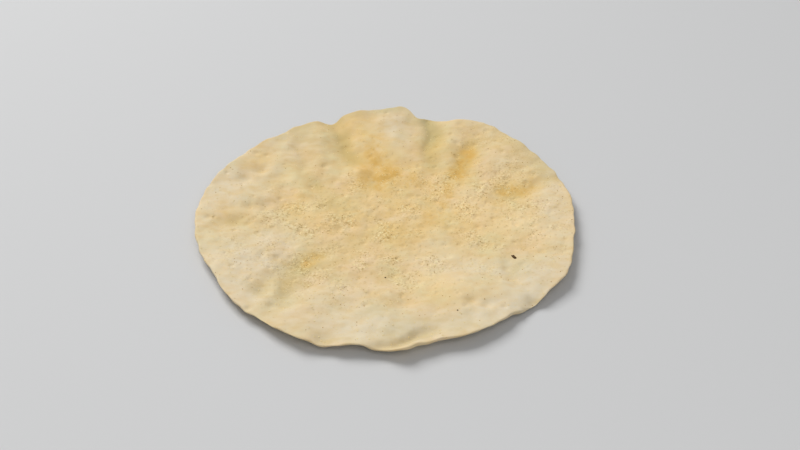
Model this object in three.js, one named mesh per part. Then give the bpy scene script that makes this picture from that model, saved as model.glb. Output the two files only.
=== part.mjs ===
// A chapati: a thin, round, hand-rolled flatbread, lying as it settles after the griddle.
// Millimetres, +Z up. The origin is the middle of the bread's footprint, on the surface it lies on.
//
// The bread is one solid. It starts as a thin turned disc with a rounded edge. Each vertex is then
// moved: outwards, to follow the hand-rolled outline, and up, to follow the dished and pleated lie of
// the bread. The middle of the underside stays flat, and that is what the bread rests on.

import * as THREE from 'three';

// The rolled round.
const RADIUS = 113; // mean radius
const THICKNESS = 2.2; // in the middle
const RIM_THICKNESS = 1.6; // at the edge
const THIN_FROM = 70; // radius from which the bread thins towards its edge

// The shallow dish: the middle settles on the surface and the rim stands a little above it.
const DISH_FROM = 35; // radius where the rise begins
const DISH_RISE = 6; // rise at the mean radius
const SETTLE = 0.6; // how far the soft middle is pressed down

const DEEPEST_HOLLOW = 1.3; // in the top, where the underside already lies flat

// Facets.
const SEGMENTS = 114; // around
const TOP_RINGS = 21;
const UNDERSIDE_RINGS = 17;
const EDGE_STEPS = 4; // around the rounded edge

// The outline: swells and notches of the rim, each with its bearing from +X and its half-width in
// degrees, and how far it moves the edge outwards.
const OUTLINE = [
  { name: 'right bulge', bearing: 12, halfWidth: 16, out: 2.4 },
  { name: 'back right corner', bearing: 54, halfWidth: 9, out: 2 },
  { name: 'pulled-in back', bearing: 108, halfWidth: 42, out: -2.6 },
  { name: 'back right notch', bearing: 69, halfWidth: 5, out: -6 },
  { name: "back lobe's right side", bearing: 78, halfWidth: 3.6, out: -6.8 },
  { name: "back lobe's right corner", bearing: 84, halfWidth: 3, out: 1.2 },
  { name: 'back left notch', bearing: 111, halfWidth: 4, out: -4.8 },
  { name: 'back left shoulder', bearing: 120, halfWidth: 4.5, out: -1.6 },
  { name: 'left back notch', bearing: 131, halfWidth: 4.5, out: -3.4 },
  { name: 'left back side', bearing: 146, halfWidth: 7, out: -1.6 },
  { name: 'left bulge', bearing: 178, halfWidth: 16, out: 2 },
  { name: 'left front notch', bearing: 208, halfWidth: 6, out: -2 },
  { name: 'front left bulge', bearing: 247, halfWidth: 9, out: 2.2 },
  { name: 'front dent', bearing: 263, halfWidth: 4.5, out: -1.6 },
  { name: 'front bulge', bearing: 275, halfWidth: 3.5, out: 2.2 },
  { name: 'front right dent', bearing: 286, halfWidth: 4.5, out: -2.4 },
  { name: 'right front dent', bearing: 309, halfWidth: 6, out: -1.6 },
  { name: 'right front bulge', bearing: 333, halfWidth: 12, out: 4.2 },
];

// Swells and gullies, each a soft ridge or valley from a point near the middle to one at the rim.
// left and right are its half-widths on the two sides, looking along it. rise is its height, and rim is the
// share of that height left at the outer end.
const FOLDS = [
  { name: 'back lobe', from: [6, 46], to: [4, 116], left: 12, right: 10, rise: 2.4, rim: 0.8 },
  { name: "back lobe's left side", from: [-14, 56], to: [-20, 112], left: 8, right: 8, rise: 1, rim: 0.8 },
  { name: 'back gully', from: [27, 38], to: [31, 116], left: 4.5, right: 9, rise: -3.4, rim: 0.75 },
  { name: 'back right rib', from: [38, 50], to: [46, 112], left: 6, right: 8, rise: 0.8, rim: 0.6 },
  { name: 'back right crease', from: [36, 24], to: [60, 88], left: 4.5, right: 9, rise: -2.8, rim: 0 },
  { name: 'right back swell', from: [60, 38], to: [86, 78], left: 13, right: 11, rise: 1.4, rim: 0.6 },
  { name: 'right back crease', from: [68, 45], to: [110, 52], left: 4, right: 4, rise: -0.5, rim: 0.6 },
  { name: 'right gully', from: [60, 15], to: [114, 38], left: 5.5, right: 8, rise: -2.4, rim: 0.7 },
  { name: 'right swell', from: [60, -8], to: [114, 0], left: 12, right: 12, rise: 1.6, rim: 0.6 },
  { name: 'right front swell', from: [55, -25], to: [108, -52], left: 12, right: 14, rise: 1.4, rim: 0.6 },
  { name: 'right front crease', from: [66, -36], to: [84, -74], left: 4, right: 4, rise: -2, rim: 0.4 },
  { name: 'front right swell', from: [25, -45], to: [45, -105], left: 20, right: 20, rise: 1.4, rim: 0.6 },
  { name: 'front crease', from: [38, -90], to: [-6, -115], left: 4.5, right: 3.5, rise: -3.1, rim: 0.7 },
  { name: 'front lip', from: [34, -104], to: [6, -116], left: 3.5, right: 3.5, rise: 1, rim: 1 },
  { name: 'front swell', from: [-5, -50], to: [-12, -112], left: 18, right: 18, rise: 1.2, rim: 0.6 },
  { name: 'front left swell', from: [-28, -46], to: [-44, -104], left: 12, right: 11, rise: 2, rim: 0.5 },
  { name: 'front left crease', from: [-50, -44], to: [-63, -86], left: 6, right: 5, rise: -2.4, rim: 0.1 },
  { name: 'left front rib', from: [-55, -46], to: [-68, -80], left: 4.5, right: 4, rise: 0.9, rim: 0.3 },
  { name: 'left front gully', from: [-34, -28], to: [-82, -68], left: 7, right: 6, rise: -1.3, rim: 0.2 },
  { name: 'left front swell', from: [-45, -16], to: [-106, -42], left: 11, right: 15, rise: 0.9, rim: 0.6 },
  { name: 'left crease', from: [-74, -4], to: [-114, -3], left: 9, right: 5, rise: -2.2, rim: 0 },
  { name: 'left swell', from: [-60, 18], to: [-112, 28], left: 12, right: 12, rise: 1.3, rim: 0 },
  { name: 'left back ridge', from: [-82, 28], to: [-60, 82], left: 5, right: 6, rise: 1.2, rim: 0.3 },
  { name: 'left back crease', from: [-48, 24], to: [-60, 84], left: 4, right: 6, rise: -1.4, rim: 0.2 },
  { name: 'back left rib', from: [-42, 42], to: [-50, 108], left: 7, right: 8, rise: 1.4, rim: 0.6 },
  { name: 'back left gully', from: [-14, 42], to: [-38, 108], left: 8, right: 9, rise: -3.7, rim: 0.6 },
];
const FOLD_RUN_IN = 0.45; // share of a fold's length over which it grows from nothing
const FOLD_FADE_FROM = 0.55; // share of its length from which it fades towards the rim
const STRAY = 1.4; // how far a fold strays from straight
const STRAY_LENGTHS = [31, 26]; // along Y and along X, from one such bend to the next on the same side

// Round swells and dimples: the place, the radius and the height of each.
const SPOTS = [
  { at: [-8, 35], radius: 7, rise: -2.4 },
  { at: [-17, 47], radius: 6.5, rise: 2.4 },
  { at: [-5, 50], radius: 5, rise: -1 },
  { at: [-38, 52], radius: 9, rise: 0.8 },
  { at: [-23, 23], radius: 8, rise: 0.8 },
  { at: [-10, 10], radius: 8, rise: 0.7 },
  { at: [7, 30], radius: 4, rise: -0.8 },
  { at: [-43, 33], radius: 4.5, rise: -1.9 },
  { at: [-50, 43], radius: 5, rise: 1.3 },
  { at: [-51, 25], radius: 5, rise: 1 },
  { at: [-63, 29], radius: 4.5, rise: -1.2 },
  { at: [-80, 46], radius: 4.5, rise: -1.4 },
  { at: [-89, 37], radius: 4, rise: -2 },
  { at: [-74, 11], radius: 4, rise: -1.5 },
  { at: [-84, 10], radius: 4, rise: -1.2 },
  { at: [-50, -24], radius: 6, rise: 0.9 },
  { at: [-54, -25], radius: 3.5, rise: -0.8 },
  { at: [-37, -34], radius: 4.5, rise: -1.5 },
  { at: [-69, -65], radius: 6.5, rise: -2.8 },
  { at: [-62, -55], radius: 4, rise: -0.6 },
  { at: [-55, -65], radius: 5, rise: -0.8 },
  { at: [-57, -80], radius: 4.5, rise: -0.7 },
  { at: [-65, -78], radius: 5, rise: 1 },
  { at: [-20, -19], radius: 4, rise: -0.7 },
  { at: [64, 40], radius: 4, rise: -0.7 },
  { at: [72, 27], radius: 6, rise: -0.8 },
  { at: [54, -11], radius: 4, rise: -0.7 },
  { at: [41, -19], radius: 5, rise: -0.6 },
  { at: [57, -27], radius: 6, rise: -0.9 },
  { at: [88, -16], radius: 4, rise: -0.5 },
  { at: [97, -36], radius: 4.5, rise: -0.8 },
  { at: [95, -24], radius: 6, rise: 0.7 },
  { at: [42, -61], radius: 14, rise: 1.3 },
  { at: [49, -76], radius: 4, rise: -2 },
  { at: [57, -79], radius: 3.5, rise: -1.8 },
  { at: [46, -91], radius: 6, rise: -0.9 },
  { at: [66, -66], radius: 7, rise: 0.8 },
  { at: [84, -76], radius: 5, rise: -1.8 },
  { at: [12, -73], radius: 6, rise: -1.8 },
  { at: [4, -65], radius: 6, rise: 0.8 },
  { at: [20, -78], radius: 6, rise: 0.7 },
  { at: [5, -49], radius: 4, rise: -0.6 },
  { at: [-26, -54], radius: 5, rise: -0.6 },
  { at: [-32, -106], radius: 6.5, rise: -3 },
  { at: [79, -84], radius: 9, rise: -3.4 },
  { at: [-44, -60], radius: 5.5, rise: -1.5 },
  { at: [-52, -77], radius: 5, rise: -0.9 },
  { at: [88, -68], radius: 5, rise: -1 },
  { at: [9, -12], radius: 7, rise: 0.7 },
  { at: [18, 43], radius: 7, rise: 1.3 },
  { at: [52, -71], radius: 13, rise: 2.2 },
  { at: [55, 3], radius: 10, rise: 1.3 },
  { at: [95, -12], radius: 12, rise: 1.2 },
  { at: [-90, -46], radius: 12, rise: 1.2 },
];

// Long low waves across the whole round: bearing in degrees, wavelength, height, phase in radians.
const WAVES = [
  { bearing: 20, length: 47, rise: 0.3, phase: 0.4 },
  { bearing: 80, length: 38, rise: 0.25, phase: 2.1 },
  { bearing: 140, length: 43, rise: 0.3, phase: 4 },
];

const { clamp, degToRad, euclideanModulo, lerp, smoothstep } = THREE.MathUtils;

// A bell curve of 1 at no distance, falling away over the given half-width.
function bell(distance, halfWidth) {
  return Math.exp(-((distance / halfWidth) ** 2));
}

// How far the edge lies outside the mean radius at an angle in radians from +X.
function edgeOffset(angle) {
  let out = 0;
  for (const lobe of OUTLINE) {
    const turn = euclideanModulo(angle - degToRad(lobe.bearing) + Math.PI, 2 * Math.PI) - Math.PI;
    out += lobe.out * bell(turn, degToRad(lobe.halfWidth));
  }
  return out;
}

// The height that one fold gives at a point.
function foldHeight(fold, x, y) {
  const runX = fold.to[0] - fold.from[0];
  const runY = fold.to[1] - fold.from[1];
  const ahead = (x - fold.from[0]) * runX + (y - fold.from[1]) * runY;
  const share = clamp(ahead / (runX ** 2 + runY ** 2), 0, 1);
  const aside = Math.hypot(x - fold.from[0] - share * runX, y - fold.from[1] - share * runY);
  const toLeft = runX * (y - fold.from[1]) - runY * (x - fold.from[0]) > 0;
  const grown = smoothstep(share, 0, FOLD_RUN_IN);
  const kept = lerp(1, fold.rim, smoothstep(share, FOLD_FADE_FROM, 1));
  return fold.rise * grown * kept * bell(aside, toLeft ? fold.left : fold.right);
}

// The lie of the bread: the height of its underside, which is negative where the middle is pressed flat.
function lie(x, y) {
  const outward = Math.max(0, Math.hypot(x, y) - DISH_FROM) / (RADIUS - DISH_FROM);
  const strayedX = x + STRAY * Math.sin((2 * Math.PI * y) / STRAY_LENGTHS[0]);
  const strayedY = y + STRAY * Math.sin((2 * Math.PI * x) / STRAY_LENGTHS[1]);
  let height = DISH_RISE * outward ** 2 - SETTLE;
  for (const fold of FOLDS) {
    height += foldHeight(fold, strayedX, strayedY);
  }
  for (const spot of SPOTS) {
    height += spot.rise * bell(Math.hypot(x - spot.at[0], y - spot.at[1]), spot.radius);
  }
  for (const wave of WAVES) {
    const along = x * Math.cos(degToRad(wave.bearing)) + y * Math.sin(degToRad(wave.bearing));
    height += wave.rise * Math.sin((2 * Math.PI * along) / wave.length + wave.phase);
  }
  return height;
}

// The lie of the top: as the underside's where that is clear of the surface. Where it is pressed flat, the
// hollows of the top run out towards their greatest depth.
function topLie(height) {
  const pressed = Math.min(height, 0);
  return Math.max(height, 0) - DEEPEST_HOLLOW * (1 - Math.exp(pressed / DEEPEST_HOLLOW));
}

// Half of the disc's section, from the middle of the underside, round the edge, to the middle of the top.
function discSection() {
  const points = [];
  const edgeRadius = RIM_THICKNESS / 2;
  const flatRadius = RADIUS - edgeRadius;
  for (let ring = 0; ring <= UNDERSIDE_RINGS; ring += 1) {
    points.push(new THREE.Vector2((flatRadius * ring) / UNDERSIDE_RINGS, 0));
  }
  for (let step = 1; step < EDGE_STEPS; step += 1) {
    const angle = (Math.PI * step) / EDGE_STEPS;
    const height = edgeRadius * (1 - Math.cos(angle));
    points.push(new THREE.Vector2(flatRadius + edgeRadius * Math.sin(angle), height));
  }
  for (let ring = TOP_RINGS; ring >= 0; ring -= 1) {
    const radius = (flatRadius * ring) / TOP_RINGS;
    const height = lerp(THICKNESS, RIM_THICKNESS, smoothstep(radius, THIN_FROM, flatRadius));
    points.push(new THREE.Vector2(radius, height));
  }
  return points;
}

// Move each vertex of the flat disc, which is turned about +Y, to the outline and the lie of the bread,
// which lies with +Z up.
function settle(geometry) {
  const place = geometry.attributes.position;
  for (let index = 0; index < place.count; index += 1) {
    const aboveUnderside = place.getY(index);
    const flatX = place.getX(index);
    const flatY = -place.getZ(index);
    const outward = Math.hypot(flatX, flatY) / RADIUS;
    const stretch = 1 + (edgeOffset(Math.atan2(flatY, flatX)) / RADIUS) * outward ** 2;
    const x = flatX * stretch;
    const y = flatY * stretch;
    const height = lie(x, y);
    const z = aboveUnderside > 0 ? topLie(height) + aboveUnderside : Math.max(0, height);
    place.setXYZ(index, x, y, z);
  }
}

// Centre the footprint on the origin.
function centre(geometry) {
  geometry.computeBoundingBox();
  const middle = geometry.boundingBox.getCenter(new THREE.Vector3());
  geometry.translate(-middle.x, -middle.y, -geometry.boundingBox.min.z);
}

function chapati() {
  const geometry = new THREE.LatheGeometry(discSection(), SEGMENTS);
  settle(geometry);
  centre(geometry);
  geometry.computeVertexNormals();
  const dough = new THREE.MeshStandardMaterial({ color: 0xdcc597, roughness: 0.9, metalness: 0 });
  const mesh = new THREE.Mesh(geometry, dough);
  mesh.name = 'chapati';
  return mesh;
}

const bread = new THREE.Group();
bread.add(chapati());

export default bread;
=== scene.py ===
"""A chapati: a thin round of unleavened wheat dough, rolled by hand and baked on a dry griddle.

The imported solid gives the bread's place, size and lie. This script replaces it with the bread as it
looks: the same round with the same folds, its swollen and pitted skin, the flour and bran on it and a
few scorched flecks. Lengths are in millimetres until a mesh is written, and then in metres.
"""

import logging
import math
from dataclasses import dataclass, field
from enum import Enum

import bpy
import numpy as np
from mathutils import Matrix, Vector


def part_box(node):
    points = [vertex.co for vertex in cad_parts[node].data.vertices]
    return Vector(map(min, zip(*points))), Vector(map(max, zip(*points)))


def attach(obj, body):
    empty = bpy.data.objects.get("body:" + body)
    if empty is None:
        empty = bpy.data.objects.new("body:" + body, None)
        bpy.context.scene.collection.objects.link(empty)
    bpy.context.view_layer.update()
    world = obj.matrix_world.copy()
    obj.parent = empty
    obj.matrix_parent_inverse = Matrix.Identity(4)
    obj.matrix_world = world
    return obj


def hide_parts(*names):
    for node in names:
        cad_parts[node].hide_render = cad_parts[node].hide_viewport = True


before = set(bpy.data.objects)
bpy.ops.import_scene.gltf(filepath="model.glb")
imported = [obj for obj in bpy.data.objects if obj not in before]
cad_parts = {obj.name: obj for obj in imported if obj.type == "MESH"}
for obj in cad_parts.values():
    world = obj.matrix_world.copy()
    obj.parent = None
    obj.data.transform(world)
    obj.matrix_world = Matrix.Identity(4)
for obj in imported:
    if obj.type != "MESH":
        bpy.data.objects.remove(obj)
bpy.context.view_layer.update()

MM = 0.001  # metres in a millimetre
PER_SQUARE_CM = 1e4  # one for each square centimetre, in ones for each square metre
ROOT_BODY = "root"
BREAD_NODE = "chapati"

log = logging.getLogger("chapati")


# ---------------------------------------------------------------------------------------------
# Small shared tools
# ---------------------------------------------------------------------------------------------

def bell(distance: np.ndarray, half_width: float) -> np.ndarray:
    """Return a soft bump: 1 at no distance, and down to about a third at the half-width."""
    return np.exp(-((distance / half_width) ** 2))


def smoothstep(value: np.ndarray, low: float, high: float) -> np.ndarray:
    """Return 0 below low, 1 above high and a smooth rise between them."""
    share = np.clip((value - low) / (high - low), 0.0, 1.0)
    return share * share * (3.0 - 2.0 * share)


def linear(hex_colour: str) -> tuple[float, float, float, float]:
    """Turn an sRGB hex colour into linear RGBA.

    Args:
        hex_colour: A colour such as "#dcc597".

    Returns:
        The linear red, green, blue and an alpha of 1.
    """
    parts = [int(hex_colour[i:i + 2], 16) / 255 for i in (1, 3, 5)]
    red, green, blue = (p / 12.92 if p <= 0.04045 else ((p + 0.055) / 1.055) ** 2.4 for p in parts)
    return red, green, blue, 1.0


def add(tree: bpy.types.NodeTree, kind: str, inputs: dict | None = None, out: int | str = 0,
        **settings: object) -> bpy.types.NodeSocket | None:
    """Add one node to a tree, with its settings, values and links.

    Args:
        tree: The node tree to add to.
        kind: The node's type name.
        inputs: For each input's name or number, the socket to link to it or the value to give it.
        out: Which of the node's outputs to return.
        **settings: The node's own properties.

    Returns:
        The chosen output socket, or None for a node without outputs.
    """
    node = tree.nodes.new(kind)
    for name, value in settings.items():
        setattr(node, name, value)
    for key, value in (inputs or {}).items():
        if isinstance(value, bpy.types.NodeSocket):
            tree.links.new(value, node.inputs[key])
        else:
            node.inputs[key].default_value = value
    return node.outputs[out] if len(node.outputs) else None


def show(name: str, data: bpy.types.ID) -> bpy.types.Object:
    """Make an object of a mesh, a lamp or a camera and put it in the scene.

    Args:
        name: The object's name.
        data: What the object shows.

    Returns:
        The object.
    """
    shown = bpy.data.objects.new(name, data)
    bpy.context.scene.collection.objects.link(shown)
    return shown


def new_material(name: str) -> tuple[bpy.types.Material, bpy.types.NodeTree]:
    """Make a material without nodes.

    Args:
        name: The material's name.

    Returns:
        The material and its empty node tree.
    """
    material = bpy.data.materials.new(name)
    material.use_nodes = True
    material.node_tree.nodes.clear()
    return material, material.node_tree


def new_shape_tree(name: str, sizes: dict[str, float]) -> tuple[bpy.types.NodeTree, bpy.types.Node]:
    """Make an empty Geometry Nodes tree with a named input for each size.

    Args:
        name: The tree's name.
        sizes: Each input's name and value.

    Returns:
        The tree and its group input node.
    """
    tree = bpy.data.node_groups.new(name, "GeometryNodeTree")
    tree.interface.new_socket("Geometry", in_out="INPUT", socket_type="NodeSocketGeometry")
    tree.interface.new_socket("Geometry", in_out="OUTPUT", socket_type="NodeSocketGeometry")
    for size_name, value in sizes.items():
        kind = "NodeSocketInt" if isinstance(value, int) else "NodeSocketFloat"
        tree.interface.new_socket(size_name, in_out="INPUT", socket_type=kind)
    return tree, tree.nodes.new("NodeGroupInput")


def run_shape_tree(tree: bpy.types.NodeTree, sizes: dict[str, float], mesh: bpy.types.Mesh,
                   name: str) -> bpy.types.Object:
    """Run a Geometry Nodes tree on a mesh and keep its result as a plain mesh object.

    Args:
        tree: The tree to run.
        sizes: Each named input's value.
        mesh: The mesh that the tree starts from.
        name: The name of the finished object.

    Returns:
        The finished object, without a modifier.
    """
    start = show(name + "_start", mesh)
    modifier = start.modifiers.new("shape", "NODES")
    modifier.node_group = tree
    for item in tree.interface.items_tree:
        if item.in_out == "INPUT" and item.name in sizes:
            modifier[item.identifier] = sizes[item.name]
    evaluated = start.evaluated_get(bpy.context.evaluated_depsgraph_get())
    made = bpy.data.meshes.new_from_object(evaluated)
    start.modifiers.clear()
    bpy.data.objects.remove(start)
    made.name = name
    made.shade_smooth()
    return show(name, made)


@dataclass(frozen=True)
class Ramp:
    """A straight run: as a value goes from low to high, the result goes from start to end and stays there."""

    low: float
    high: float
    start: float = 0.0
    end: float = 1.0

    def of(self, value: bpy.types.NodeSocket) -> dict:
        """Return the inputs of a Map Range node that runs this way over a value."""
        return {"Value": value, "From Min": self.low, "From Max": self.high,
                "To Min": self.start, "To Max": self.end}


@dataclass(frozen=True)
class Pattern:
    """An uneven pattern: the length of its waves, how many finer layers it has and how strong each is."""

    length: float
    layers: float = 2.0
    layer_share: float = 0.5

    def over(self, place: bpy.types.NodeSocket) -> dict:
        """Return the inputs of a Noise Texture node that lays this pattern over places in metres."""
        return {"Vector": place, "Scale": 1 / (self.length * MM),
                "Detail": self.layers, "Roughness": self.layer_share}


def settle_piece(piece: bpy.types.Object) -> None:
    """Hang a finished piece on the one body, so that it rides on it, and log how many triangles it has."""
    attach(piece, ROOT_BODY)
    piece.data.calc_loop_triangles()
    log.info("%s: %d triangles", piece.name, len(piece.data.loop_triangles))


# ---------------------------------------------------------------------------------------------
# The lie of the bread: its outline and its folds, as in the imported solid
# ---------------------------------------------------------------------------------------------

@dataclass(frozen=True)
class Lobe:
    """A swell or notch of the rim: its bearing and half-width in degrees, and its push outwards."""

    name: str
    bearing: float
    half_width: float
    out: float


@dataclass(frozen=True)
class Fold:
    """A soft ridge or valley from a point near the middle to one at the rim.

    left and right are its half-widths on the two sides, as seen looking along it from its start. rim is
    the share of its height that is left at the outer end.
    """

    name: str
    start: tuple[float, float]
    end: tuple[float, float]
    left: float
    right: float
    rise: float
    rim: float = 0.6


@dataclass(frozen=True)
class Spot:
    """A round swell or dimple."""

    x: float
    y: float
    radius: float
    rise: float


@dataclass(frozen=True)
class Wave:
    """A long low wave across the whole round: bearing in degrees, phase in radians."""

    bearing: float
    length: float
    rise: float
    phase: float


LOBES = (
    Lobe("right bulge", 12, 16, 2.4),
    Lobe("back right corner", 54, 9, 2),
    Lobe("pulled-in back", 108, 42, -2.6),
    Lobe("back right notch", 69, 5, -6),
    Lobe("back lobe's right side", 78, 3.6, -6.8),
    Lobe("back lobe's right corner", 84, 3, 1.2),
    Lobe("back left notch", 111, 4, -4.8),
    Lobe("back left shoulder", 120, 4.5, -1.6),
    Lobe("left back notch", 131, 4.5, -3.4),
    Lobe("left back side", 146, 7, -1.6),
    Lobe("left bulge", 178, 16, 2),
    Lobe("left front notch", 208, 6, -2),
    Lobe("front left bulge", 247, 9, 2.2),
    Lobe("front dent", 263, 4.5, -1.6),
    Lobe("front bulge", 275, 3.5, 2.2),
    Lobe("front right dent", 286, 4.5, -2.4),
    Lobe("right front dent", 309, 6, -1.6),
    Lobe("right front bulge", 333, 12, 4.2),
)

FOLDS = (
    Fold("back lobe", (6, 46), (4, 116), 12, 10, 2.4, 0.8),
    Fold("back lobe's left side", (-14, 56), (-20, 112), 8, 8, 1, 0.8),
    Fold("back gully", (27, 38), (31, 116), 4.5, 9, -3.4, 0.75),
    Fold("back right rib", (38, 50), (46, 112), 6, 8, 0.8),
    Fold("back right crease", (36, 24), (60, 88), 4.5, 9, -2.8, 0),
    Fold("right back swell", (60, 38), (86, 78), 13, 11, 1.4),
    Fold("right back crease", (68, 45), (110, 52), 4, 4, -0.5),
    Fold("right gully", (60, 15), (114, 38), 5.5, 8, -2.4, 0.7),
    Fold("right swell", (60, -8), (114, 0), 12, 12, 1.6),
    Fold("right front swell", (55, -25), (108, -52), 12, 14, 1.4),
    Fold("right front crease", (66, -36), (84, -74), 4, 4, -2, 0.4),
    Fold("front right swell", (25, -45), (45, -105), 20, 20, 1.4),
    Fold("front crease", (38, -90), (-6, -115), 4.5, 3.5, -3.1, 0.7),
    Fold("front lip", (34, -104), (6, -116), 3.5, 3.5, 1, 1),
    Fold("front swell", (-5, -50), (-12, -112), 18, 18, 1.2),
    Fold("front left swell", (-28, -46), (-44, -104), 12, 11, 2, 0.5),
    Fold("front left crease", (-50, -44), (-63, -86), 6, 5, -2.4, 0.1),
    Fold("left front rib", (-55, -46), (-68, -80), 4.5, 4, 0.9, 0.3),
    Fold("left front gully", (-34, -28), (-82, -68), 7, 6, -1.3, 0.2),
    Fold("left front swell", (-45, -16), (-106, -42), 11, 15, 0.9),
    Fold("left crease", (-74, -4), (-114, -3), 9, 5, -2.2, 0),
    Fold("left swell", (-60, 18), (-112, 28), 12, 12, 1.3, 0),
    Fold("left back ridge", (-82, 28), (-60, 82), 5, 6, 1.2, 0.3),
    Fold("left back crease", (-48, 24), (-60, 84), 4, 6, -1.4, 0.2),
    Fold("back left rib", (-42, 42), (-50, 108), 7, 8, 1.4),
    Fold("back left gully", (-14, 42), (-38, 108), 8, 9, -3.7),
)

SPOTS = (
    Spot(-8, 35, 7, -2.4), Spot(-17, 47, 6.5, 2.4), Spot(-5, 50, 5, -1), Spot(-38, 52, 9, 0.8),
    Spot(-23, 23, 8, 0.8), Spot(-10, 10, 8, 0.7), Spot(7, 30, 4, -0.8), Spot(-43, 33, 4.5, -1.9),
    Spot(-50, 43, 5, 1.3), Spot(-51, 25, 5, 1), Spot(-63, 29, 4.5, -1.2), Spot(-80, 46, 4.5, -1.4),
    Spot(-89, 37, 4, -2), Spot(-74, 11, 4, -1.5), Spot(-84, 10, 4, -1.2), Spot(-50, -24, 6, 0.9),
    Spot(-54, -25, 3.5, -0.8), Spot(-37, -34, 4.5, -1.5), Spot(-69, -65, 6.5, -2.8),
    Spot(-62, -55, 4, -0.6), Spot(-55, -65, 5, -0.8), Spot(-57, -80, 4.5, -0.7), Spot(-65, -78, 5, 1),
    Spot(-20, -19, 4, -0.7), Spot(64, 40, 4, -0.7), Spot(72, 27, 6, -0.8), Spot(54, -11, 4, -0.7),
    Spot(41, -19, 5, -0.6), Spot(57, -27, 6, -0.9), Spot(88, -16, 4, -0.5), Spot(97, -36, 4.5, -0.8),
    Spot(95, -24, 6, 0.7), Spot(42, -61, 14, 1.3), Spot(49, -76, 4, -2), Spot(57, -79, 3.5, -1.8),
    Spot(46, -91, 6, -0.9), Spot(66, -66, 7, 0.8), Spot(84, -76, 5, -1.8), Spot(12, -73, 6, -1.8),
    Spot(4, -65, 6, 0.8), Spot(20, -78, 6, 0.7), Spot(5, -49, 4, -0.6), Spot(-26, -54, 5, -0.6),
    Spot(-32, -106, 6.5, -3), Spot(79, -84, 9, -3.4), Spot(-44, -60, 5.5, -1.5), Spot(-52, -77, 5, -0.9),
    Spot(88, -68, 5, -1), Spot(9, -12, 7, 0.7), Spot(18, 43, 7, 1.3), Spot(52, -71, 13, 2.2),
    Spot(55, 3, 10, 1.3), Spot(95, -12, 12, 1.2), Spot(-90, -46, 12, 1.2),
)

WAVES = (
    Wave(20, 47, 0.3, 0.4),
    Wave(80, 38, 0.25, 2.1),
    Wave(140, 43, 0.3, 4),
)


@dataclass(frozen=True)
class Lie:
    """How the soft round settles: dished and pleated, with its middle flat on the surface."""

    radius: float = 113
    dish_from: float = 35  # the radius at which the rise to the edge begins
    dish_rise: float = 6
    settle: float = 0.6  # how far its weight presses the middle down
    deepest_hollow: float = 1.3  # the most that the top sinks where the underside is pressed flat
    fold_run_in: float = 0.45  # share of its length in which a fold grows to its full height
    fold_fade_from: float = 0.55  # share of its length at which it begins to fade
    stray: float = 1.4
    stray_lengths: tuple[float, float] = (31, 26)

    def edge_offset(self, angle: np.ndarray) -> np.ndarray:
        """Return how far the edge lies outside the mean radius.

        Args:
            angle: Angles from +X, in radians.

        Returns:
            The offset at each angle.
        """
        out = np.zeros_like(angle)
        for lobe in LOBES:
            turn = (angle - math.radians(lobe.bearing) + math.pi) % (2 * math.pi) - math.pi
            out += lobe.out * bell(turn, math.radians(lobe.half_width))
        return out

    def fold_height(self, fold: Fold, x: np.ndarray, y: np.ndarray) -> np.ndarray:
        """Return the height that one fold gives at each point.

        Args:
            fold: The fold.
            x: The points' X.
            y: The points' Y.

        Returns:
            The heights.
        """
        run_x, run_y = fold.end[0] - fold.start[0], fold.end[1] - fold.start[1]
        ahead = (x - fold.start[0]) * run_x + (y - fold.start[1]) * run_y
        share = np.clip(ahead / (run_x ** 2 + run_y ** 2), 0, 1)
        aside = np.hypot(x - fold.start[0] - share * run_x, y - fold.start[1] - share * run_y)
        to_left = run_x * (y - fold.start[1]) - run_y * (x - fold.start[0]) > 0
        grown = smoothstep(share, 0, self.fold_run_in)
        kept = 1 - (1 - fold.rim) * smoothstep(share, self.fold_fade_from, 1)
        return fold.rise * grown * kept * bell(aside / np.where(to_left, fold.left, fold.right), 1)

    def relief(self, x: np.ndarray, y: np.ndarray) -> np.ndarray:
        """Return the height that the folds, spots and waves give; no fold runs quite straight.

        Args:
            x: The points' X.
            y: The points' Y.

        Returns:
            The heights.
        """
        strayed_x = x + self.stray * np.sin(2 * math.pi * y / self.stray_lengths[0])
        strayed_y = y + self.stray * np.sin(2 * math.pi * x / self.stray_lengths[1])
        height = np.zeros_like(x)
        for fold in FOLDS:
            height += self.fold_height(fold, strayed_x, strayed_y)
        for spot in SPOTS:
            height += spot.rise * bell(np.hypot(x - spot.x, y - spot.y), spot.radius)
        for wave in WAVES:
            bearing = math.radians(wave.bearing)
            along = x * math.cos(bearing) + y * math.sin(bearing)
            height += wave.rise * np.sin(2 * math.pi * along / wave.length + wave.phase)
        return height

    def height(self, x: np.ndarray, y: np.ndarray) -> np.ndarray:
        """Return the height of the underside at each point, negative where the middle is pressed flat."""
        outward = np.maximum(0, np.hypot(x, y) - self.dish_from) / (self.radius - self.dish_from)
        return self.dish_rise * outward ** 2 - self.settle + self.relief(x, y)

    def top_height(self, height: np.ndarray) -> np.ndarray:
        """Return the top's lie over an underside's height; its hollows run out where that is pressed flat."""
        pressed = np.minimum(height, 0)
        return np.maximum(height, 0) - self.deepest_hollow * (1 - np.exp(pressed / self.deepest_hollow))


# ---------------------------------------------------------------------------------------------
# Finishes
# ---------------------------------------------------------------------------------------------

class Tone(Enum):
    """What a patch of the crust shows; each value is the name of the mesh attribute that holds it."""

    TOASTED = "toasted"
    SWOLLEN = "swollen"
    FLOURY = "floury"
    DOUGHY = "doughy"
    PITTED = "pitted"


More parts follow.
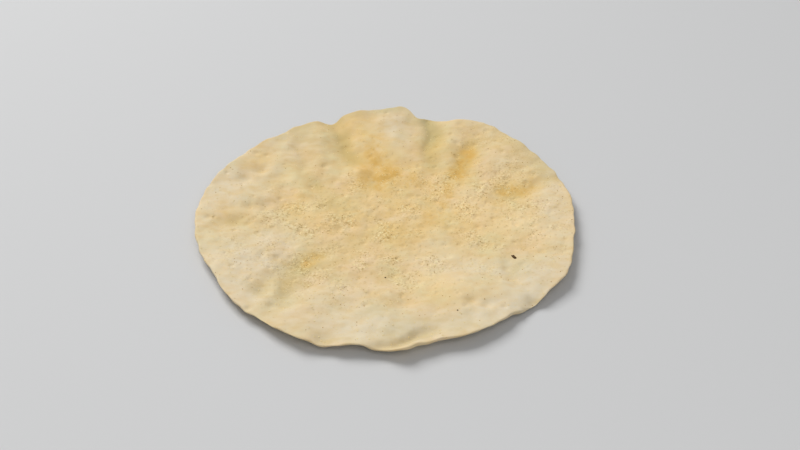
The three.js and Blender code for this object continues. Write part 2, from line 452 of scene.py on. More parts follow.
@dataclass(frozen=True)
class Patch:
    """A soft-edged patch of a tone: its middle, its two half-widths, its strength, its turn in degrees."""

    x: float
    y: float
    long: float
    short: float
    strength: float
    turn: float = 0

    def cover(self, x: np.ndarray, y: np.ndarray) -> np.ndarray:
        """Return how much of the patch's tone each point has.

        Args:
            x: The points' X.
            y: The points' Y.

        Returns:
            The cover, from 0 to the patch's strength.
        """
        turn = math.radians(self.turn)
        along = (x - self.x) * math.cos(turn) + (y - self.y) * math.sin(turn)
        across = (y - self.y) * math.cos(turn) - (x - self.x) * math.sin(turn)
        return self.strength * bell(np.hypot(along / self.long, across / self.short), 1)


PATCHES: dict[Tone, tuple[Patch, ...]] = {
    Tone.TOASTED: (
        Patch(4, 42, 18, 12, 0.62, 20), Patch(24, 74, 7, 9, 0.25), Patch(52, 66, 7, 8, 0.4),
        Patch(24, 35, 12, 8, 0.2), Patch(-9, 70, 26, 12, 0.7, 112), Patch(-28, 98, 10, 7, 0.25, 20),
        Patch(47, 50, 25, 8, 0.9, 72), Patch(84, 28, 18, 10, 0.75, 20), Patch(32, -73, 16, 10, 0.2),
        Patch(-99, 2, 10, 5, 0.25), Patch(-54, 13, 11, 9, 0.4, 120), Patch(-84, 53, 9, 7, 0.45, 50),
        Patch(34, 74, 12, 6, 0.4, 90), Patch(-10, 36, 8, 7, 0.5), Patch(-14, 53, 9, 8, 0.35),
        Patch(84, -5, 13, 9, 0.15), Patch(27, -55, 13, 8, 0.25), Patch(42, 8, 18, 13, 0.25),
        Patch(-43, -38, 9, 6, 0.7, 40), Patch(7, 2, 66, 34, 0.4), Patch(14, -20, 9, 6, 0.3),
        Patch(91, -33, 9, 6, 0.25),
    ),
    Tone.SWOLLEN: (
        Patch(33, -58, 16, 10, 0.5), Patch(30, -31, 15, 12, 0.4), Patch(80, -9, 18, 9, 0.5),
        Patch(23, -9, 13, 9, 0.35), Patch(51, 14, 11, 14, 0.6), Patch(-113, 6, 6, 12, 0.5),
        Patch(-98, -43, 14, 9, 0.45, 120), Patch(-48, 10, 7, 6, 0.3), Patch(-60, 36, 6, 5, 0.35),
        Patch(47, 75, 6, 7, 0.4), Patch(95, -21, 8, 6, 0.4), Patch(-32, 95, 7, 6, 0.35),
        Patch(-76, -54, 7, 6, 0.4), Patch(-90, 4, 7, 5, 0.35), Patch(38, 98, 7, 6, 0.35),
        Patch(12, 17, 8, 6, 0.3), Patch(-65, 88, 8, 6, 0.3, -40), Patch(84, 79, 7, 9, 0.2, 45),
        Patch(-70, -1, 7, 5, 0.3), Patch(9, 68, 7, 6, 0.3), Patch(68, -51, 7, 5, 0.55),
        Patch(-92, 58, 8, 6, 0.4, 30), Patch(48, 101, 12, 5, 0.4, -15),
    ),
    Tone.FLOURY: (
        Patch(-88, -40, 26, 22, 0.7, 120), Patch(-8, -95, 52, 18, 0.8), Patch(88, -61, 28, 18, 0.9, 45),
        Patch(104, 10, 40, 12, 0.6, 90), Patch(-103, 28, 26, 14, 0.7, 75), Patch(5, 91, 17, 12, 0.6, 90),
        Patch(60, -86, 24, 11, 0.7, 25), Patch(40, -45, 24, 12, 0.5), Patch(11, -2, 12, 6, 0.3),
        Patch(66, -46, 14, 9, 0.4), Patch(29, -22, 16, 10, 0.3), Patch(54, 15, 13, 12, 0.2),
        Patch(48, 78, 6, 7, 0.25), Patch(56, 98, 13, 5, 0.4, -30), Patch(72, 55, 7, 6, 0.35),
        Patch(-94, 59, 7, 6, 0.35), Patch(-71, 46, 7, 7, 0.3), Patch(-10, 111, 7, 4, 0.4),
        Patch(-68, 72, 16, 16, 0.35), Patch(77, -6, 12, 9, 0.15), Patch(-111, -5, 8, 20, 0.25),
        Patch(51, -63, 10, 7, 0.25), Patch(-17, -102, 12, 7, 0.15), Patch(-90, 15, 9, 6, 0.3),
        Patch(-12, 9, 8, 7, 0.25), Patch(-80, 30, 14, 22, 0.35, 30), Patch(-35, -68, 24, 12, 0.4),
        Patch(-70, -42, 12, 9, 0.4), Patch(-80, -70, 14, 24, 0.5, 42), Patch(-63, -20, 16, 18, 0.5),
    ),
    Tone.DOUGHY: (
        Patch(96, 62, 11, 30, 0.45, 38), Patch(31, 80, 7, 12, 0.6), Patch(57, 70, 8, 10, 0.5),
        Patch(13, -97, 22, 6, 0.6, 18), Patch(-1, 112, 12, 6, 0.9), Patch(-23, -104, 9, 6, 0.3),
        Patch(-47, 53, 7, 6, 0.2), Patch(-37, 25, 7, 6, 0.25), Patch(-51, -95, 8, 5, 0.2),
        Patch(34, 79, 6, 6, 0.2), Patch(-10, 33, 6, 5, 0.3), Patch(-54, -22, 6, 5, 0.2),
        Patch(40, 56, 5, 6, 0.2), Patch(-49, -47, 6, 5, 0.4), Patch(8, 84, 6, 6, 0.25),
        Patch(-33, -25, 8, 7, 0.25), Patch(-45, -40, 9, 7, 1, 50), Patch(62, 96, 14, 9, 0.2, -50),
        Patch(77, -49, 8, 7, 0.7), Patch(-72, -71, 7, 6, 0.3), Patch(-54, -72, 8, 6, 0.35),
        Patch(34, -99, 9, 5, 0.3, 15), Patch(-6, -85, 9, 6, 0.4), Patch(-32, 13, 9, 7, 0.45),
        Patch(-24, -57, 7, 6, 0.3), Patch(99, 31, 7, 6, 0.5), Patch(50, -94, 13, 7, 0.35, 20),
        Patch(87, -66, 7, 6, 0.3), Patch(103, 45, 7, 9, 0.35), Patch(-57, 85, 14, 9, 0.4, 120),
        Patch(-27, 107, 12, 9, 0.5), Patch(26, 101, 9, 13, 0.4),
    ),
    Tone.PITTED: (
        Patch(-10, -18, 75, 36, 1), Patch(-25, 20, 45, 25, 0.6), Patch(80, 0, 28, 36, 0.8),
        Patch(-15, -55, 40, 22, 0.5), Patch(50, 40, 40, 28, 0.7, 60),
    ),
}


@dataclass(frozen=True)
class Pores:
    """Pits or dimples where steam broke through the skin, one at most in each cell of a loose lattice."""

    spacing: float = 3.6
    radius: float = 1.2
    deep: float = 0.16  # the depth of each
    smallest: float = 0.3  # radius of the smallest pit, as a share of the largest
    shift: tuple[float, float, float] = (0.37, 0.61, 0.0)  # metres, so that no two lattices fall together

    def depth(self, tree: bpy.types.NodeTree, place: bpy.types.NodeSocket,
              cover: bpy.types.NodeSocket) -> bpy.types.NodeSocket:
        """Add the nodes that give the depth of the pits, from 0 to 1.

        Args:
            tree: A material's or a shape's node tree.
            place: The place on the bread, in metres.
            cover: How pitted the crust is, from 0 to 1.

        Returns:
            The depth's socket.
        """
        moved = add(tree, "ShaderNodeVectorMath", {0: place, 1: self.shift}, operation="ADD")
        cell = {"Vector": moved, "Scale": 1 / (self.spacing * MM), "Randomness": 1.0}
        distance = add(tree, "ShaderNodeTexVoronoi", cell, out="Distance", voronoi_dimensions="2D")
        chance = add(tree, "ShaderNodeSeparateXYZ", {0: distance.node.outputs["Color"]}, out=0)
        sized = Ramp(0.0, 1.0, self.smallest * self.radius / self.spacing, self.radius / self.spacing)
        reach = add(tree, "ShaderNodeMapRange", sized.of(chance))
        dip = add(tree, "ShaderNodeMapRange", {
            "Value": distance, "From Min": 0.0, "From Max": reach, "To Min": 1.0, "To Max": 0.0},
            interpolation_type="SMOOTHSTEP")
        size = chance.node.outputs[1]
        open_pore = add(tree, "ShaderNodeMath", {0: cover, 1: size}, operation="GREATER_THAN")
        return add(tree, "ShaderNodeMath", {0: dip, 1: open_pore}, operation="MULTIPLY")


@dataclass(frozen=True)
class BakedDough:
    """Unleavened wheat dough, rolled thin and baked on a dry griddle.

    Baking leaves a matt, faintly translucent cream crust: golden to tan where it lay on the hot iron,
    paler and warm where it swelled clear of it, paler and cool where dry flour stayed, and greener and
    duller where it is still doughy. Shade is painted into it too: ochre painted shade in the hollows of
    the lie, tan painted shade in the low spots of the skin, darker painted shade in the small pits where
    steam broke through and in the low spots of the grain bump, and painted light on that bump's crests.
    """

    cream: str = "#ecd1a7"
    straw: str = "#e1d2a2"
    tan: str = "#dcbd84"
    golden: str = "#e8c06f"
    toasted: str = "#cc9f4c"
    swollen: str = "#fbdfb0"
    floury: str = "#e3d4b6"
    doughy: str = "#c4b786"
    # painted shade: the dark tone laid into the pits and into the low spots of the grain bump
    pit_shade: str = "#a8884a"
    # painted light: the pale tone laid on the crests of the grain bump
    grain: str = "#f8e8b4"
    # painted shade: the ochre laid into the hollows of the lie
    hollow_shade: str = "#c8ae6e"
    drift: Pattern = Pattern(24)  # from the one ground colour to the other
    blotch: Pattern = Pattern(17, 5.0, 0.7)  # the ragged blotches in which the crust toasts
    mottle: Pattern = Pattern(5.5)  # the mottles of the skin
    tooth: Pattern = Pattern(1.3)  # grains of coarse flour, drawn a few times their size so that they show
    tooth_height: float = 0.22
    tooth_strength: float = 0.8
    rolling: tuple[float, float, float] = (0.7, 1.15, 1.0)  # mottles run on along X, the last way of rolling
    drifted: Ramp = Ramp(0.38, 0.62)  # drift, to the share of straw
    tanned: Ramp = Ramp(0.35, 0.66, 0.0, 0.7)  # mottle, to the share of tan
    low_skin_shade: Ramp = Ramp(-0.9 * MM, 0.9 * MM, 0.45, 0.0)  # rise of the skin, to the share of tan painted as shade in its low spots
    # strength of the painted shade in the hollows of the lie
    hollow_shade_strength: float = 0.8
    broken: Ramp = Ramp(0.33, 0.62, 0.25, 1.35)  # blotch, to how much of the toasting shows
    deepened: Ramp = Ramp(0.4, 1.0, 0.0, 0.6)  # toasting, to the share of the deepest tone
    dusted: Ramp = Ramp(0.3, 0.7, 1.2, 0.5)  # mottle, to how much of the flour shows
    # strength of the painted shade in the pits
    pit_shade_strength: float = 0.25
    grain_low_shade: Ramp = Ramp(0.45, 0.3, 0.0, 0.9)  # tooth, to the share of painted shade in the grain bump's low spots on crumbly skin
    grain_crest_light: Ramp = Ramp(0.55, 0.7, 0.0, 0.9)  # tooth, to the share of painted light on the grain bump's crests on crumbly skin
    coarsened: Ramp = Ramp(0.0, 1.0, 0.5, 2.0)  # crumbliness, to the height of the grains

    def material(self, pores: Pores) -> bpy.types.Material:
        """Make the crust's material: each tone is laid over those before it.

        Args:
            pores: The pits of the skin, whose depth the painted pit shade follows.

        Returns:
            The material.
        """
        material, tree = new_material("griddle_baked_wheat_dough")
        place = add(tree, "ShaderNodeTexCoord", out="Object")
        rolled = add(tree, "ShaderNodeVectorMath", {0: place, 1: self.rolling}, operation="MULTIPLY")
        drifts = add(tree, "ShaderNodeTexNoise", self.drift.over(place))
        blotches = add(tree, "ShaderNodeTexNoise", self.blotch.over(place))
        mottles = add(tree, "ShaderNodeTexNoise", self.mottle.over(rolled))
        teeth = add(tree, "ShaderNodeTexNoise", self.tooth.over(place))
        shown = {name: add(tree, "ShaderNodeAttribute", out="Fac", attribute_name=name)
                 for name in (*(tone.value for tone in Tone), "skin_rise", "hollow_shade", "crumbly")}

        # painted shade in the hollows of the lie
        hollow_shading = add(tree, "ShaderNodeMath", {0: shown["hollow_shade"], 1: self.hollow_shade_strength}, operation="MULTIPLY")
        broken = add(tree, "ShaderNodeMapRange", self.broken.of(blotches))
        toasted = add(tree, "ShaderNodeMath", {0: shown[Tone.TOASTED.value], 1: broken},
                      operation="MULTIPLY", use_clamp=True)
        dusted = add(tree, "ShaderNodeMapRange", self.dusted.of(mottles))
        floury = add(tree, "ShaderNodeMath", {0: shown[Tone.FLOURY.value], 1: dusted},
                     operation="MULTIPLY", use_clamp=True)
        # painted shade in the pits, as deep as each pit
        pitted = pores.depth(tree, place, shown[Tone.PITTED.value])
        pitted = add(tree, "ShaderNodeMath", {0: pitted, 1: self.pit_shade_strength},
                     operation="MULTIPLY", use_clamp=True)
        # painted shade in the low spots and painted light on the crests of the grain bump, where the skin
        # crumbles
        grain_shading = []
        for ramp in (self.grain_low_shade, self.grain_crest_light):
            grain = add(tree, "ShaderNodeMapRange", ramp.of(teeth))
            grain_shading.append(add(tree, "ShaderNodeMath", {0: grain, 1: shown["crumbly"]}, operation="MULTIPLY"))

        colour = linear(self.cream)
        for share, tone_colour in (
                (add(tree, "ShaderNodeMapRange", self.drifted.of(drifts)), self.straw),
                (add(tree, "ShaderNodeMapRange", self.tanned.of(mottles)), self.tan),
                # painted shade: tan in the low spots of the skin
                (add(tree, "ShaderNodeMapRange", self.low_skin_shade.of(shown["skin_rise"])), self.tan),
                (hollow_shading, self.hollow_shade),
                (shown[Tone.SWOLLEN.value], self.swollen),
                (shown[Tone.DOUGHY.value], self.doughy),
                (toasted, self.golden),
                (add(tree, "ShaderNodeMapRange", self.deepened.of(toasted)), self.toasted),
                (floury, self.floury),
                # painted shade in the pits
                (pitted, self.pit_shade),
                # painted shade in the grain bump's low spots, and painted light on its crests
                (grain_shading[0], self.pit_shade),
                (grain_shading[1], self.grain)):
            colour = add(tree, "ShaderNodeMix", {0: share, 6: colour, 7: linear(tone_colour)},
                         out=2, data_type="RGBA")

        height = add(tree, "ShaderNodeMapRange", self.coarsened.of(shown["crumbly"]))
        height = add(tree, "ShaderNodeMath", {0: teeth, 1: height}, operation="MULTIPLY")
        grain = add(tree, "ShaderNodeBump", {
            "Strength": self.tooth_strength, "Distance": self.tooth_height * MM, "Height": height})
        surface = add(tree, "ShaderNodeBsdfPrincipled", {
            "Base Color": colour, "Roughness": 0.82, "IOR": 1.42, "Specular IOR Level": 0.3,
            "Subsurface Weight": 0.05, "Subsurface Radius": (1.0, 0.75, 0.5),
            "Subsurface Scale": 1.5 * MM, "Sheen Weight": 0.08, "Sheen Roughness": 0.6, "Normal": grain})
        add(tree, "ShaderNodeOutputMaterial", {"Surface": surface})
        return material


@dataclass(frozen=True)
class PlainCrumb:
    """A small loose crumb of one colour, such as flour, bran or char, with a slight mottle."""

    name: str
    colour: str
    shade: str
    roughness: float
    mottle: Pattern = Pattern(0.6)

    def material(self) -> bpy.types.Material:
        """Make the crumb's material: two close tones, because no crumb is one flat colour.

        Returns:
            The material.
        """
        material, tree = new_material(self.name)
        place = add(tree, "ShaderNodeTexCoord", out="Object")
        mottles = add(tree, "ShaderNodeTexNoise", self.mottle.over(place))
        colour = add(tree, "ShaderNodeMix", {
            0: mottles, 6: linear(self.colour), 7: linear(self.shade)}, out=2, data_type="RGBA")
        surface = add(tree, "ShaderNodeBsdfPrincipled", {
            "Base Color": colour, "Roughness": self.roughness, "Specular IOR Level": 0.25})
        add(tree, "ShaderNodeOutputMaterial", {"Surface": surface})
        return material


# Milled and sifted, and never baked: quite matt, and paler than the crust.
DRY_FLOUR = PlainCrumb("dry_milled_flour", "#f6e4b0", "#ecd59a", 0.95)
# Husk broken by the millstones: small tan scales, a little smoother than the flour.
WHEAT_BRAN = PlainCrumb("coarse_wheat_bran", "#c79f5c", "#a8803f", 0.8)
# Dough burnt on the iron: nearly black, with some brown left where it is thin.
CHARRED_DOUGH = PlainCrumb("charred_dough", "#6a4b20", "#2e1f0d", 0.7, Pattern(1.6))


# ---------------------------------------------------------------------------------------------
# The bread
# ---------------------------------------------------------------------------------------------

@dataclass
class ChapatiRound:
    """The bread itself: one closed skin round the thin baked dough."""

    lie: Lie = field(default_factory=Lie)
    pores: Pores = field(default_factory=Pores)
    dimples: Pores = field(default_factory=lambda: Pores(11, 4, 0.7, shift=(0.83, 0.29, 0.0)))
    finish: BakedDough = field(default_factory=BakedDough)
    thickness: float = 2.2
    rim_thickness: float = 1.6
    thin_from: float = 70
    top_rings: int = 150
    underside_rings: int = 75
    edge_steps: int = 4
    ragged: float = 0.12  # height of each of the small waves that roughen the edge
    ragged_waves: tuple[int, ...] = (17, 23, 31, 38, 47, 59, 73)
    seed: int = 7
    upper_edges: tuple[float, float] = (0.5, 0.95)  # shares of the edge's height where the top side begins
    hollow_shade_depths: tuple[float, float] = (0.2, 3.2)  # depths in the lie at which none and all of the painted shade shows
    swell_height: float = 0.6
    swell_length: float = 17
    puff_height: float = 0.4
    puff_spacing: float = 8
    crinkle_height: float = 0.34
    crinkle_length: float = 3.2
    cluster_length: float = 13  # across a cluster of crumbly skin
    evened: Ramp = Ramp(0.25, 0.75, -1.0, 1.0)  # raw noise, to noise from -1 to 1
    roughened: Ramp = Ramp(0.0, 1.0, 0.25, 1.0)  # pitted crust, to the strength of the crinkles
    clustered: Ramp = Ramp(-0.1, 0.45)  # clusters, to how crumbly the skin is
    crumbly_roughness: float = 0.5  # how much stronger the crinkles are where the skin crumbles
    domed: Ramp = Ramp(0.0, 0.7, 1.0, -0.6)  # distance from a puff's middle, to its height
    puff_blend: float = 0.6  # how softly one puff runs into the next

    def ring_grid(self, rings: int, first: int) -> tuple[list[tuple[int, float]], list[tuple[int, int, int]]]:
        """Lay out a disc as rings of six points, twelve points and so on, so that all faces are alike.

        Args:
            rings: How many rings there are round the middle point.
            first: The index of the middle point.

        Returns:
            Each point's ring and angle, and the triangles, which face up.
        """
        points = [(0, 0.0)]
        for ring in range(1, rings + 1):
            points += [(ring, 2 * math.pi * step / (6 * ring)) for step in range(6 * ring)]
        faces = []
        for ring in range(1, rings + 1):
            outer = first + 1 + 3 * ring * (ring - 1)
            inner = first + 1 + 3 * (ring - 1) * (ring - 2) if ring > 1 else first
            inner_count = max(1, 6 * (ring - 1))
            for sector in range(6):
                for step in range(ring):
                    here = sector * ring + step
                    below = inner + (sector * (ring - 1) + step) % inner_count
                    ahead = outer + (here + 1) % (6 * ring)
                    faces.append((below, outer + here, ahead))
                    if step < ring - 1:
                        faces.append((below, ahead, inner + (sector * (ring - 1) + step + 1) % inner_count))
        return points, faces

    def flat_disc(self) -> tuple[np.ndarray, np.ndarray, list[tuple[int, int, int]]]:
        """Make the flat disc: the top, the rounded edge and the underside, closed.

        Returns:
            Each point's radius and angle, each point's height above the underside, and the triangles.
        """
        edge_radius = self.rim_thickness / 2
        flat_radius = self.lie.radius - edge_radius
        top, faces = self.ring_grid(self.top_rings, 0)
        polar = [(flat_radius * ring / self.top_rings, angle) for ring, angle in top]
        rim_count = 6 * self.top_rings
        height = [math.nan] * len(polar)

        previous = len(polar) - rim_count
        for step in range(1, self.edge_steps):
            turn = math.pi * step / self.edge_steps
            radius = flat_radius + edge_radius * math.sin(turn)
            ring = len(polar)
            polar += [(radius, 2 * math.pi * index / rim_count) for index in range(rim_count)]
            height += [edge_radius * (1 + math.cos(turn))] * rim_count
            for index in range(rim_count):
                ahead = (index + 1) % rim_count
                faces.append((previous + index, ring + index, ring + ahead))
                faces.append((previous + index, ring + ahead, previous + ahead))
            previous = ring

        first = len(polar)
        under, under_faces = self.ring_grid(self.underside_rings, first)
        polar += [(flat_radius * ring / self.underside_rings, angle) for ring, angle in under]
        height += [0.0] * len(under)
        faces += [(a, c, b) for a, b, c in under_faces]
        under_count = 6 * self.underside_rings
        under_rim = len(polar) - under_count
        for index in range(under_count):
            here, ahead = under_rim + index, under_rim + (index + 1) % under_count
            start, middle = previous + 2 * index, previous + 2 * index + 1
            end = previous + (2 * index + 2) % rim_count
            faces += [(start, here, middle), (here, ahead, middle), (middle, ahead, end)]

        polar = np.array(polar)
        thinned = smoothstep(polar[:, 0], self.thin_from, flat_radius)
        full = self.thickness + (self.rim_thickness - self.thickness) * thinned
        return polar, np.where(np.isnan(height), full, height), faces

    def ragged_edge(self, angle: np.ndarray) -> np.ndarray:
        """Return how far the hand-rolled edge strays outwards at each angle, in radians from +X."""
        phases = np.random.default_rng(self.seed).uniform(0, 2 * math.pi, len(self.ragged_waves))
        return sum(self.ragged * np.sin(count * angle + phase)
                   for count, phase in zip(self.ragged_waves, phases))

    def settled_mesh(self) -> bpy.types.Mesh:
        """Move the flat disc to the outline and the lie, and mark the tones of its crust.

        Returns:
            The mesh, in metres, with an attribute for each tone, each side and the painted shade
            in the hollows of the lie.
        """
        polar, above, faces = self.flat_disc()
        radius, angle = polar[:, 0], polar[:, 1]
        offset = self.lie.edge_offset(angle) + self.ragged_edge(angle)
        reach = radius * (1 + offset / self.lie.radius * (radius / self.lie.radius) ** 2)
        x, y = reach * np.cos(angle), reach * np.sin(angle)
        lie = self.lie.height(x, y)
        z = np.where(above > 0, self.lie.top_height(lie) + above, np.maximum(0, lie))
        low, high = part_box(BREAD_NODE)
        shift = [(low[i] + high[i]) / 2 / MM - (v.min() + v.max()) / 2 for i, v in enumerate((x, y))]
        points = np.column_stack((x + shift[0], y + shift[1], z)) * MM

        mesh = bpy.data.meshes.new("chapati_round_flat")
        mesh.from_pydata(points.tolist(), [], faces)
        covers = {tone.value: sum(patch.cover(x, y) for patch in patches)
                  for tone, patches in PATCHES.items()}
        covers["upper"] = smoothstep(above, *(share * self.rim_thickness for share in self.upper_edges))
        covers["lower"] = (above == 0).astype(float)
        # painted shade: how deep each point lies in a hollow of the lie, for the crust's colour to darken
        # there
        covers["hollow_shade"] = smoothstep(-self.lie.relief(x, y), *self.hollow_shade_depths)
        for name, values in covers.items():
            stored = mesh.attributes.new(name, "FLOAT", "POINT")
            stored.data.foreach_set("value", values.astype(np.float32))
        return mesh

    def skin_sizes(self) -> dict[str, float]:
        """Return the sizes that the skin's shape tree takes, in metres."""
        return {
            "Swell height": self.swell_height * MM,
            "Swell length": self.swell_length * MM,
            "Puff height": self.puff_height * MM,
            "Puff spacing": self.puff_spacing * MM,
            "Crinkle height": self.crinkle_height * MM,
            "Crinkle length": self.crinkle_length * MM,
            "Cluster length": self.cluster_length * MM,
            "Pore rise": -self.pores.deep * MM,
            "Dimple rise": -self.dimples.deep * MM,
            "Seed": float(self.seed),
        }

    def skin_noise(self, tree: bpy.types.NodeTree, place: bpy.types.NodeSocket,
                   size: bpy.types.NodeOutputs, length: str, detail: float) -> bpy.types.NodeSocket:
        """Add the nodes that give a seeded noise of one length.

        Args:
            tree: The skin's shape tree.
            place: The place on the bread, in metres.
            size: The tree's sizes.
            length: The name of the size that is the noise's length.
            detail: How many finer layers the noise has.

        Returns:
            The noise's socket, from -1 to 1.
        """
        scale = add(tree, "ShaderNodeMath", {0: 1.0, 1: size[length]}, operation="DIVIDE")
        raw = add(tree, "ShaderNodeTexNoise", {
            "Vector": place, "W": size["Seed"], "Scale": scale, "Detail": detail}, noise_dimensions="4D")
        return add(tree, "ShaderNodeMapRange", self.evened.of(raw))

    def skin_tree(self) -> bpy.types.NodeTree:
        """Make the shape tree of the skin: soft swells, small puffs, crinkles and open pores.

        Returns:
            The Geometry Nodes tree.
        """
        tree, group = new_shape_tree("griddle_skin", self.skin_sizes())
        size = group.outputs
        place = add(tree, "GeometryNodeInputPosition")
        pitted, upper, lower = (
            add(tree, "GeometryNodeInputNamedAttribute", {"Name": name}, data_type="FLOAT")
            for name in (Tone.PITTED.value, "upper", "lower"))
        clusters = self.skin_noise(tree, place, size, "Cluster length", detail=2.0)
        clustered = add(tree, "ShaderNodeMapRange", self.clustered.of(clusters))
        crumbly = add(tree, "ShaderNodeMath", {0: clustered, 1: pitted},
                      operation="MULTIPLY", use_clamp=True)
        roughened = add(tree, "ShaderNodeMapRange", self.roughened.of(pitted))
        roughened = add(tree, "ShaderNodeMath", {0: crumbly, 1: self.crumbly_roughness, 2: roughened},
                        operation="MULTIPLY_ADD")
        crinkles = self.skin_noise(tree, place, size, "Crinkle length", detail=3.0)
        crinkles = add(tree, "ShaderNodeMath", {0: crinkles, 1: roughened}, operation="MULTIPLY")
        puff_scale = add(tree, "ShaderNodeMath", {0: 1.0, 1: size["Puff spacing"]}, operation="DIVIDE")
        bubbles = add(tree, "ShaderNodeTexVoronoi", {
            "Vector": place, "Scale": puff_scale, "Smoothness": self.puff_blend, "Randomness": 1.0},
            feature="SMOOTH_F1", voronoi_dimensions="3D")

        rise = 0.0
        for shape, height in (
                (self.skin_noise(tree, place, size, "Swell length", detail=1.0), "Swell height"),
                (add(tree, "ShaderNodeMapRange", self.domed.of(bubbles)), "Puff height"),
                (crinkles, "Crinkle height"),
                (self.pores.depth(tree, place, pitted), "Pore rise"),
                (self.dimples.depth(tree, place, roughened), "Dimple rise")):
            rise = add(tree, "ShaderNodeMath", {0: shape, 1: size[height], 2: rise},
                       operation="MULTIPLY_ADD")
        marks = add(tree, "ShaderNodeMath", {0: crinkles, 1: size["Crinkle height"]}, operation="MULTIPLY")
        marks = add(tree, "ShaderNodeMath", {0: marks, 1: 0.0}, operation="MAXIMUM")
        marks = add(tree, "ShaderNodeMath", {0: marks, 1: lower}, operation="MULTIPLY")
        rise = add(tree, "ShaderNodeMath", {0: rise, 1: upper, 2: marks}, operation="MULTIPLY_ADD")

        offset = add(tree, "ShaderNodeCombineXYZ", {"Z": rise})
        moved = add(tree, "GeometryNodeSetPosition", {"Geometry": size["Geometry"], "Offset": offset})
        stored = moved
        for name, value in (("skin_rise", rise), ("crumbly", crumbly)):
            stored = add(tree, "GeometryNodeStoreNamedAttribute", {
                "Geometry": stored, "Name": name, "Value": value}, data_type="FLOAT", domain="POINT")
        real = add(tree, "GeometryNodeRealizeInstances", {"Geometry": stored})
        dressed = add(tree, "GeometryNodeSetMaterial", {
            "Geometry": real, "Material": self.finish.material(self.pores)})
        add(tree, "NodeGroupOutput", {"Geometry": dressed})
        return tree

    def build(self) -> bpy.types.Object:
        """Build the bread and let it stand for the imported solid.

        Returns:
            The bread's object.
        """
        bread = run_shape_tree(self.skin_tree(), self.skin_sizes(), self.settled_mesh(), "chapati_round")
        settle_piece(bread)
        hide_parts(BREAD_NODE)
        return bread


@dataclass(frozen=True)
class Sprinkle:
    """Many small crumbs of one kind on the upper side of the bread, thickest where its skin crumbles."""

    name: str
    finish: PlainCrumb
    per_square_cm: float
    smallest: float
    largest: float
    flatness: float
    seed: int
    elsewhere: float = 0.1  # how thickly they lie on sound skin, as a share
    tilt: float = 0.5  # radians either way
    full_turn: float = 6.28  # radians

    def sizes(self) -> dict[str, float]:
        """Return the sizes that the shape tree takes, in metres and per square metre."""
        return {
            "Density": self.per_square_cm * PER_SQUARE_CM,
            "Smallest": self.smallest * MM,
            "Largest": self.largest * MM,
            "Flatness": self.flatness,
            "Seed": self.seed,
        }

    def tree(self) -> bpy.types.NodeTree:
        """Make the shape tree that strews the crumbs and gives each its own size and turn.

        Returns:
            The Geometry Nodes tree.
        """
        tree, group = new_shape_tree(self.name, self.sizes())
        size = group.outputs
        upper, crumbly = (
            add(tree, "GeometryNodeInputNamedAttribute", {"Name": name}, data_type="FLOAT")
            for name in ("upper", "crumbly"))
        thick = add(tree, "ShaderNodeMapRange", Ramp(0.0, 1.0, self.elsewhere, 1.0).of(crumbly))
        cover = add(tree, "ShaderNodeMath", {0: upper, 1: thick}, operation="MULTIPLY")
        density = add(tree, "ShaderNodeMath", {0: cover, 1: size["Density"]}, operation="MULTIPLY")
        points = add(tree, "GeometryNodeDistributePointsOnFaces", {
            "Mesh": size["Geometry"], "Density": density, "Seed": size["Seed"]}, out="Points")
        crumb = add(tree, "GeometryNodeMeshIcoSphere", {"Radius": 1.0, "Subdivisions": 1})
        across = add(tree, "FunctionNodeRandomValue", {
            2: size["Smallest"], 3: size["Largest"], "Seed": size["Seed"]}, out=1, data_type="FLOAT")
        height = add(tree, "ShaderNodeMath", {0: across, 1: size["Flatness"]}, operation="MULTIPLY")
        scale = add(tree, "ShaderNodeCombineXYZ", {0: across, 1: across, 2: height})
        turn = add(tree, "FunctionNodeRandomValue", {
            0: (-self.tilt, -self.tilt, 0.0), 1: (self.tilt, self.tilt, self.full_turn),
            "Seed": size["Seed"]}, out=0, data_type="FLOAT_VECTOR")
        laid = add(tree, "GeometryNodeInstanceOnPoints", {
            "Points": points, "Instance": crumb, "Rotation": turn, "Scale": scale})
        real = add(tree, "GeometryNodeRealizeInstances", {"Geometry": laid})
        dressed = add(tree, "GeometryNodeSetMaterial", {
            "Geometry": real, "Material": self.finish.material()})
        add(tree, "NodeGroupOutput", {"Geometry": dressed})
        return tree

    def build(self, bread: bpy.types.Object) -> bpy.types.Object:
        """Strew the crumbs on the bread.

        Args:
            bread: The finished bread.

        Returns:
            The crumbs' object.
        """
        crumbs = run_shape_tree(self.tree(), self.sizes(), bread.data.copy(), self.name)
        settle_piece(crumbs)
        return crumbs


SPRINKLES = (
    Sprinkle("dusting_flour", DRY_FLOUR, 26, 0.2, 0.48, 0.6, 3),
    Sprinkle("bran_flecks", WHEAT_BRAN, 7, 0.2, 0.42, 0.3, 5),
)


@dataclass(frozen=True)
class Fleck:
    """One scorched flake: its place, its length, width and height, and its turn in degrees."""

    x: float
    y: float
    length: float
    width: float
    height: float
    turn: float


